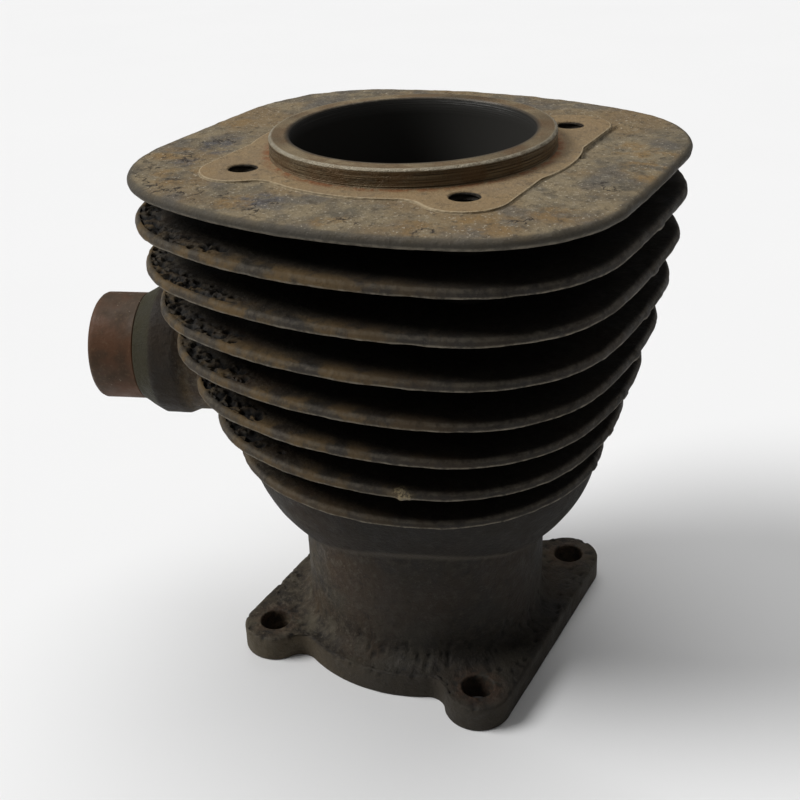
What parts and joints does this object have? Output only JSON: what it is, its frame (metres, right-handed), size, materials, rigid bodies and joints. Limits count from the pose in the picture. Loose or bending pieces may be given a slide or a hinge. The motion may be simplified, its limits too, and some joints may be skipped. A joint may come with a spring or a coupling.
{
  "type": "engine cylinder barrel",
  "caption": "Air-cooled cast-iron cylinder barrel with cooling fins, a spigot ring on the head joint, a lobed base flange and a turned port stub.",
  "frame": {"origin": "centre of the bore on the base joint face", "axes": "+Z along the bore towards the cylinder head, X and Y square to the two bolt patterns, the port stub on the -X side"},
  "size_m": [0.15, 0.1218, 0.1455],
  "materials": {
    "rusty_cast_iron": "rough casting with a thin coat of rust, turned joint faces",
    "rusty_steel": "turned steel with an even coat of rust"
  },
  "bodies": {
    "root": {"cylinder_barrel": "rusty_cast_iron", "port_stub": "rusty_steel"}
  },
  "joints": []
}
